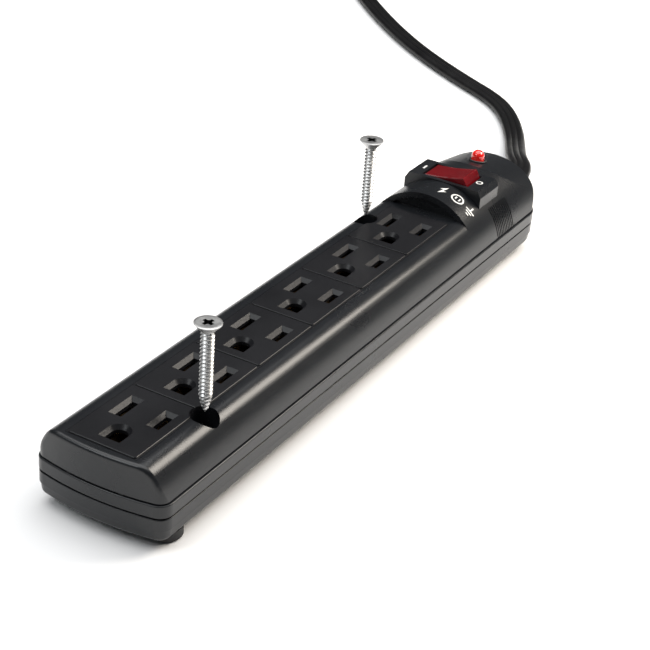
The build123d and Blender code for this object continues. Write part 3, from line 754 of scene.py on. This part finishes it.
def in_recess(screw_low, screw_high):
    middle = (screw_low + screw_high) / 2

    def test(face):
        spot = face.calc_center_median()
        reach = math.hypot(spot.x - middle.x, spot.y - middle.y)
        below_top = screw_high.z - spot.z
        return 0.00005 < below_top < 0.0030 and reach < 0.0024 and face.normal.z > -0.7

    return test


# The cross recess faces take blackened steel as painted shade inside the recess; the plated metal there is
# really as bright as the rest.
paint_shade_inside(near_screw, M["black_steel"], in_recess(near_low, near_high))
paint_shade_inside(far_screw, M["black_steel"], in_recess(far_low, far_high))

# ---------------------------------------------------------------- lamp collar and printed marks

def lamp_collar():
    """The dark ring pressed round the lamp where it comes through the sloping end."""
    low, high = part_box("lamp_lens")
    mid = (low + high) / 2
    pivot = Vector((mid.x, mid.y, 0.0336))
    bpy.ops.mesh.primitive_torus_add(location=pivot, major_radius=0.00305, minor_radius=0.00042,
                                     major_segments=56, minor_segments=12)
    obj = new_piece("lamp_collar")
    edit(obj)
    bpy.ops.mesh.select_all(action="SELECT")
    bpy.ops.transform.resize(value=(1, 1, 0.8), center_override=pivot)
    done()
    place(obj)
    turn = Matrix.Rotation(math.radians(9.2), 4, "Y")
    obj.data.transform(Matrix.Translation(pivot) @ turn @ Matrix.Translation(-pivot))
    smooth(obj, 60)
    return obj


collar = lamp_collar()
finish_piece(collar, "housing", M["switch_black"])

COVER = frame["nodes"]["top_cover"]
DOME_AXIS = Vector((0.0, 0.0, 0.0117))
DOME_TOP = 0.0347
MARKS_X = 0.0765
SWITCH_X = 0.08985


def flat_shape(name, corners, height):
    """A flat shape with these (x, y) corners in millimetres, drawn one corner at a time."""
    bpy.ops.mesh.primitive_circle_add(vertices=len(corners), radius=0.002, fill_type="NGON",
                                      location=(0, 0, height))
    obj = new_piece(name)
    place(obj)
    homes = [v.co.copy() for v in obj.data.vertices]
    edit(obj)
    for i, (x, y) in enumerate(corners):
        pick(obj, "verts", lambda v: v.index == i)
        bpy.ops.transform.translate(value=Vector((x * MM, y * MM, height)) - homes[i])
    done()
    return obj


def flat_ring(name, outer, inner, height):
    """A flat ring with these radii in millimetres."""
    bpy.ops.mesh.primitive_circle_add(vertices=40, radius=outer * MM, fill_type="NGON",
                                      location=(0, 0, height))
    obj = new_piece(name)
    place(obj)
    edit(obj)
    pick(obj, "faces", lambda f: True)
    bpy.ops.mesh.inset(thickness=(outer - inner) * MM)
    bpy.ops.mesh.delete(type="FACE")
    done()
    return obj


def bar(name, x, y, long, wide, height):
    """A flat printed bar centred on (x, y), long in x and wide in y, in millimetres."""
    return flat_shape(name, [(x - long / 2, y - wide / 2), (x + long / 2, y - wide / 2),
                             (x + long / 2, y + wide / 2), (x - long / 2, y + wide / 2)], height)


def printed(obj, at_x, at_y=0.0, turn=0.0):
    """Lay a flat shape on the cover as a thin film of ink."""
    edit(obj)
    bpy.ops.mesh.select_all(action="SELECT")
    bpy.ops.mesh.quads_convert_to_tris()
    bpy.ops.mesh.subdivide(number_cuts=5)
    done()
    obj.data.transform(Matrix.Translation((at_x, at_y, 0)))
    obj.data.transform(Matrix.Translation(DOME_AXIS) @ Matrix.Rotation(math.radians(turn), 4, "X")
                       @ Matrix.Translation(-DOME_AXIS))
    lay = obj.modifiers.new("lay", "SHRINKWRAP")
    lay.target = COVER
    lay.wrap_method = "NEAREST_SURFACEPOINT"
    lay.wrap_mode = "ABOVE_SURFACE"
    lay.offset = 0.00004
    film = obj.modifiers.new("film", "SOLIDIFY")
    film.thickness = 0.00006
    film.offset = 1.0
    apply_modifiers(obj)
    outward(obj)
    return obj


def dome_marks():
    """Three plain pictograms round the dome: a bolt, an outlet and an earth sign."""
    height = DOME_TOP + 0.0002
    zigzag = [(3.0, -0.9), (0.4, 1.5), (0.5, 0.2), (-3.0, 0.9), (-0.4, -1.5), (-0.5, -0.2)]
    bolt = flat_shape("mark_bolt", zigzag, height)
    printed(bolt, MARKS_X, turn=8.0)
    ring = join(flat_ring("mark_outlet", 2.7, 2.05, height), bar("a", 0.1, 0.8, 1.7, 0.55, height),
                bar("b", 0.1, -0.8, 1.7, 0.55, height))
    printed(ring, MARKS_X, turn=24.0)
    earth = join(bar("mark_earth", 1.5, 0.0, 2.4, 0.6, height), bar("c", 0.1, 0.0, 0.6, 4.4, height),
                 bar("d", -1.2, 0.0, 0.6, 2.9, height), bar("e", -2.5, 0.0, 0.6, 1.4, height))
    printed(earth, MARKS_X, turn=40.0)
    for mark in (bolt, ring, earth):
        finish_piece(mark, "housing", M["mark_white"])


def switch_marks():
    """The usual stroke and circle beside the rocker."""
    height = 0.0351
    stroke = bar("mark_on", 0.0, 0.0, 3.0, 0.75, height)
    printed(stroke, SWITCH_X, 0.0114)
    circle = flat_ring("mark_off", 1.35, 0.85, height)
    printed(circle, SWITCH_X, -0.0114)
    for mark in (stroke, circle):
        finish_piece(mark, "housing", M["mark_white"])


dome_marks()
switch_marks()

# ---------------------------------------------------------------- camera, floor and light

def studio():
    bpy.ops.mesh.primitive_plane_add(size=9.0, location=(0.3, 0.3, -0.0002))
    floor = bpy.context.object
    floor.name = "studio_floor"
    paper = bpy.data.materials.new("white paper")
    paper.use_nodes = True
    shader = paper.node_tree.nodes["Principled BSDF"]
    shader.inputs["Base Color"].default_value = (0.93, 0.93, 0.93, 1)
    shader.inputs["Roughness"].default_value = 0.9
    shader.inputs["Specular IOR Level"].default_value = 0.1
    floor.data.materials.append(paper)

    world = bpy.data.worlds.new("studio world")
    bpy.context.scene.world = world
    world.use_nodes = True
    nodes, links = world.node_tree.nodes, world.node_tree.links
    sky = nodes["Background"]
    sky.inputs["Color"].default_value = (0.92, 0.96, 1.0, 1)
    sky.inputs["Strength"].default_value = 0.06
    # The backdrop is pale to look at, and dim in reflections.
    backdrop = nodes.new("ShaderNodeBackground")
    backdrop.inputs["Color"].default_value = (0.93, 0.94, 0.95, 1)
    ray, mix = nodes.new("ShaderNodeLightPath"), nodes.new("ShaderNodeMixShader")
    links.new(ray.outputs["Is Camera Ray"], mix.inputs["Fac"])
    links.new(sky.outputs["Background"], mix.inputs[1])
    links.new(backdrop.outputs["Background"], mix.inputs[2])
    links.new(mix.outputs["Shader"], nodes["World Output"].inputs["Surface"])

    def panel(name, location, size, power, colour, aim=(0, 0, 0.02)):
        light = bpy.data.lights.new(name, "AREA")
        light.shape = "RECTANGLE"
        light.size, light.size_y = size
        light.energy = power
        light.color = colour
        obj = bpy.data.objects.new(name, light)
        obj.location = location
        obj.rotation_mode = "QUATERNION"
        obj.rotation_quaternion = (Vector(aim) - Vector(location)).to_track_quat("-Z", "Y")
        bpy.context.scene.collection.objects.link(obj)
        obj.visible_camera = False

    panel("overhead", (0.15, 0.2, 1.9), (2.3, 2.3), 50.0, (1.0, 1.0, 1.0))
    panel("shoulder light", (0.314, -0.283, 0.370), (0.30, 0.24), 3.2, (1.0, 0.93, 0.84),
          (-0.1, -0.018, 0.026))
    panel("front light", (-0.80, 0.50, 0.90), (0.55, 0.45), 4.0, (0.95, 0.98, 1.0))


def camera():
    data = bpy.data.cameras.new("camera")
    data.sensor_width = 36.0
    data.lens = 93.74
    data.clip_start, data.clip_end = 0.01, 30.0
    obj = bpy.data.objects.new("camera", data)
    bpy.context.scene.collection.objects.link(obj)
    azimuth, elevation, roll = (math.radians(a) for a in (-61.244, 29.122, 4.355))
    back = Vector((math.sin(azimuth) * math.cos(elevation), -math.cos(azimuth) * math.cos(elevation),
                   math.sin(elevation)))
    right = Vector((0, 0, 1)).cross(back).normalized()
    up = back.cross(right)
    tilted_right = right * math.cos(roll) + up * math.sin(roll)
    tilted_up = up * math.cos(roll) - right * math.sin(roll)
    turn = Matrix((tilted_right, tilted_up, back)).transposed()
    obj.matrix_world = Matrix.Translation((-0.43966, -0.24149, 0.29034)) @ turn.to_4x4()
    bpy.context.scene.camera = obj


studio()
camera()
bpy.context.scene.view_settings.view_transform = "Standard"
